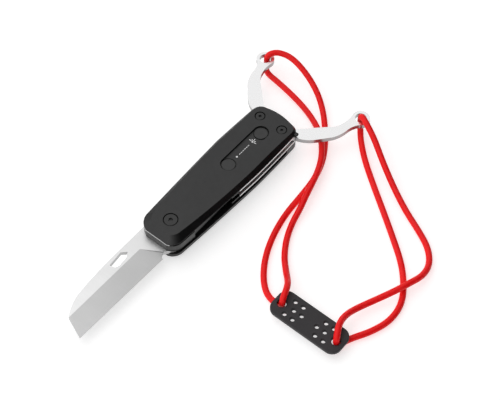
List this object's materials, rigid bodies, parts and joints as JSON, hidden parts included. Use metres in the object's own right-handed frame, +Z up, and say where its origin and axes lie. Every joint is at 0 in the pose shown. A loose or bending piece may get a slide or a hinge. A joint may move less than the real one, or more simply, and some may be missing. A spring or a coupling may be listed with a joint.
{
  "type": "folding slingshot knife",
  "caption": "Folding pocket knife with a sheepsfoot blade, a fold-out two-arm slingshot fork, two rubber bands and a perforated pouch.",
  "frame": {"origin": "centre of the rigid knife's bounding box in plan, on the bottom scale's flat face, with blade and fork open", "axes": "+Y along the handle from the blade to the fork, +X towards the side that the blade closes into, +Z up out of the top scale with the buttons"},
  "size_m": [0.1482, 0.1922, 0.0167],
  "materials": {
    "handle_black": "matte",
    "liner_steel": "satin",
    "spacer_black": "matte",
    "screw_black": "satin",
    "button_black": "satin",
    "pin_steel": "satin",
    "spring_steel": "satin",
    "washer_bronze": "satin",
    "blade_steel": "satin",
    "fork_steel": "satin",
    "pouch_black": "matte",
    "band_red": "satin"
  },
  "bodies": {
    "handle": {"top_scale": "handle_black", "bottom_scale": "handle_black", "top_liner": "liner_steel", "middle_liner": "liner_steel", "bottom_liner": "spacer_black", "blade_spacer": "spacer_black", "fork_spacer": "spacer_black", "fork_stop_block": "spacer_black", "blade_pivot_screws": "screw_black", "fork_pivot_screws": "screw_black", "blade_pivot_barrel": "pin_steel", "fork_pivot_barrels": "pin_steel", "blade_washers": "washer_bronze", "fork_washers": "washer_bronze", "blade_stop_pin": "pin_steel", "fork_detent_balls": "pin_steel", "lock_button_spring": "spring_steel", "fork_button_spring": "spring_steel", "lock_lever_pin": "pin_steel", "fork_lock_leaf": "spring_steel", "pouch": "pouch_black", "band_left": "band_red", "band_right": "band_red"},
    "blade": {"main_blade": "blade_steel"},
    "fork_right": {"fork_arm_right": "fork_steel"},
    "fork_left": {"fork_arm_left": "fork_steel"},
    "lock_button": {"lock_button": "button_black"},
    "fork_button": {"fork_button": "button_black"},
    "lock_lever": {"lock_lever": "spring_steel", "lock_pin": "pin_steel"}
  },
  "joints": [
    {"name": "blade_pivot", "type": "hinge", "parent": "handle", "child": "blade", "pos_m": [0, -0.022, 0], "axis": [0, 0, 1], "range_deg": [0, 180], "deforming": ["band_left", "band_right", "pouch"]},
    {"name": "fork_right_pivot", "type": "hinge", "parent": "handle", "child": "fork_right", "pos_m": [0.00705, 0.05465, 0], "axis": [0, 0, -1], "range_deg": [0, 140], "deforming": ["band_left", "band_right"]},
    {"name": "fork_left_pivot", "type": "hinge", "parent": "handle", "child": "fork_left", "pos_m": [-0.00705, 0.05465, 0], "axis": [0, 0, 1], "range_deg": [0, 140], "deforming": ["band_left", "band_right"]},
    {"name": "lock_button_press", "type": "slide", "parent": "handle", "child": "lock_button", "axis": [0, 0, -1], "range_m": [0, 0.0007], "stiffness_N_per_m": 1500, "springref_m": -0.0004, "deforming": ["lock_button_spring"]},
    {"name": "fork_button_press", "type": "slide", "parent": "handle", "child": "fork_button", "axis": [0, 0, -1], "range_m": [0, 0.0007], "stiffness_N_per_m": 1500, "springref_m": -0.0004, "deforming": ["fork_button_spring", "fork_lock_leaf"]},
    {"name": "lock_lever_tilt", "type": "hinge", "parent": "handle", "child": "lock_lever", "pos_m": [0, 0.004, 0.00995], "axis": [-1, 0, 0], "range_deg": [0, 2.4]}
  ],
  "couplings": [
    {"joint": "lock_lever_tilt", "follows": "lock_button_press", "rad_per_m": 58.14}
  ]
}
